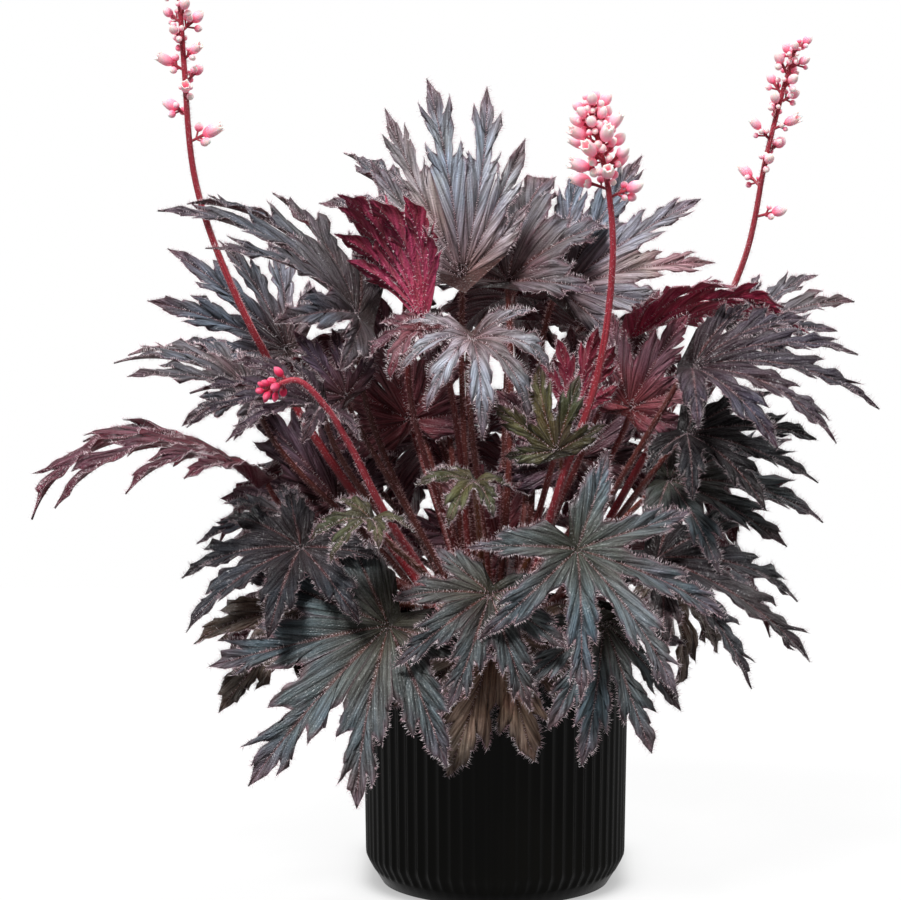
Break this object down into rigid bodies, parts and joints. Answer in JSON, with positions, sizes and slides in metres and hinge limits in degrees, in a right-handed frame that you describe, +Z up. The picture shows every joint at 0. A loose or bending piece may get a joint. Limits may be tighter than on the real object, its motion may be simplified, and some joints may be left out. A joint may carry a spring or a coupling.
{
  "type": "heuchera plant",
  "caption": "Heuchera plant with dark, deeply cut leaves and slim pink flower stalks, growing in a round ribbed plant pot.",
  "frame": {"origin": "middle of the pot's flat underside, on the ground", "axes": "+Z up along the pot's axis, -Y towards the plant's best side, +X to the right as seen from that side"},
  "size_m": [0.4777, 0.3324, 0.5376],
  "materials": {
    "compost": "matte",
    "flower_stalk": "satin",
    "leaf_brown": "matte",
    "leaf_dark": "satin",
    "leaf_olive": "satin",
    "leaf_red": "satin",
    "leaf_teal": "satin",
    "pot": "satin"
  },
  "bodies": {
    "root": {"compost": "compost", "flower_stalk_1": "flower_stalk", "flower_stalk_2": "flower_stalk", "flower_stalk_3": "flower_stalk", "flower_stalk_4": "flower_stalk", "leaf_back_11": "leaf_dark", "leaf_back_12": "leaf_dark", "leaf_back_13": "leaf_dark", "leaf_back_14": "leaf_dark", "leaf_back_15": "leaf_dark", "leaf_back_21": "leaf_dark", "leaf_back_22": "leaf_dark", "leaf_back_23": "leaf_dark", "leaf_back_24": "leaf_dark", "leaf_back_31": "leaf_dark", "leaf_back_32": "leaf_dark", "leaf_back_33": "leaf_dark", "leaf_back_41": "leaf_dark", "leaf_back_42": "leaf_dark", "leaf_front_1": "leaf_teal", "leaf_front_2": "leaf_teal", "leaf_front_3": "leaf_teal", "leaf_front_4": "leaf_brown", "leaf_front_5": "leaf_teal", "leaf_front_6": "leaf_brown", "leaf_inner_1": "leaf_red", "leaf_inner_10": "leaf_red", "leaf_inner_11": "leaf_dark", "leaf_inner_12": "leaf_red", "leaf_inner_13": "leaf_dark", "leaf_inner_2": "leaf_dark", "leaf_inner_3": "leaf_dark", "leaf_inner_4": "leaf_red", "leaf_inner_5": "leaf_olive", "leaf_inner_6": "leaf_olive", "leaf_inner_7": "leaf_olive", "leaf_inner_8": "leaf_red", "leaf_inner_9": "leaf_red", "leaf_left_1": "leaf_red", "leaf_left_2": "leaf_dark", "leaf_left_3": "leaf_dark", "leaf_left_4": "leaf_dark", "leaf_left_5": "leaf_dark", "leaf_left_6": "leaf_dark", "leaf_right_1": "leaf_dark", "leaf_right_2": "leaf_red", "leaf_right_3": "leaf_dark", "leaf_right_4": "leaf_dark", "leaf_right_5": "leaf_teal", "leaf_right_6": "leaf_dark", "leaf_right_7": "leaf_brown", "leaf_top_1": "leaf_dark", "leaf_top_2": "leaf_dark", "leaf_top_3": "leaf_dark", "pot": "pot"}
  },
  "joints": []
}
